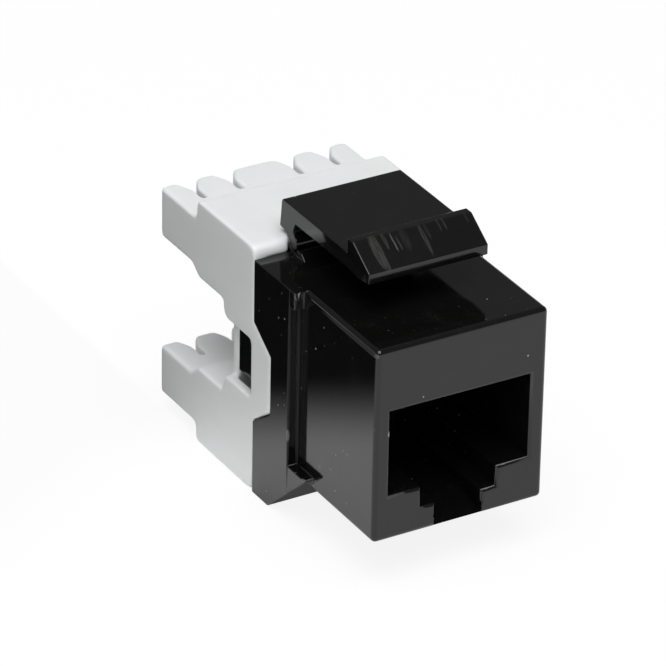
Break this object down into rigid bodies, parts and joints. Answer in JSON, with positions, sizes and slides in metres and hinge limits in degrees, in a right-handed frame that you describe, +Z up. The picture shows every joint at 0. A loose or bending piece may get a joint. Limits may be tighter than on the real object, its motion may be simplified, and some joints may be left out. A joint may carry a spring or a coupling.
{
  "type": "keystone jack",
  "caption": "Snap-in modular socket for a wall plate or panel, with a sprung latch on top and a punch-down block at the rear.",
  "frame": {"origin": "centre of the plug port on the front face", "axes": "+Y runs from the front face to the rear, the way a plug goes in; +X across the width; +Z up, towards the latch"},
  "size_m": [0.0162, 0.0312, 0.0247],
  "materials": {
    "black_plastic": "polished black",
    "white_plastic": "satin white",
    "carrier_plastic": "satin black",
    "board": "green solder mask",
    "gold_wire": "gold plated",
    "tinned_bronze": "tin plated"
  },
  "bodies": {
    "jack_body": {"housing": "black_plastic", "idc_block": "white_plastic", "contact_carrier": "carrier_plastic", "circuit_board": "board", "contact_1": "gold_wire", "contact_2": "gold_wire", "contact_3": "gold_wire", "contact_4": "gold_wire", "contact_5": "gold_wire", "contact_6": "gold_wire", "contact_7": "gold_wire", "contact_8": "gold_wire", "idc_terminal_1": "tinned_bronze", "idc_terminal_2": "tinned_bronze", "idc_terminal_3": "tinned_bronze", "idc_terminal_4": "tinned_bronze", "idc_terminal_5": "tinned_bronze", "idc_terminal_6": "tinned_bronze", "idc_terminal_7": "tinned_bronze", "idc_terminal_8": "tinned_bronze"},
    "latch": {"latch_arm": "black_plastic"}
  },
  "joints": [
    {"name": "latch_flex", "type": "hinge", "parent": "jack_body", "child": "latch", "pos_m": [0, 0.0161, 0.0096], "axis": [1, 0, 0], "range_deg": [0, 10], "stiffness_Nm_per_rad": 0.02}
  ]
}
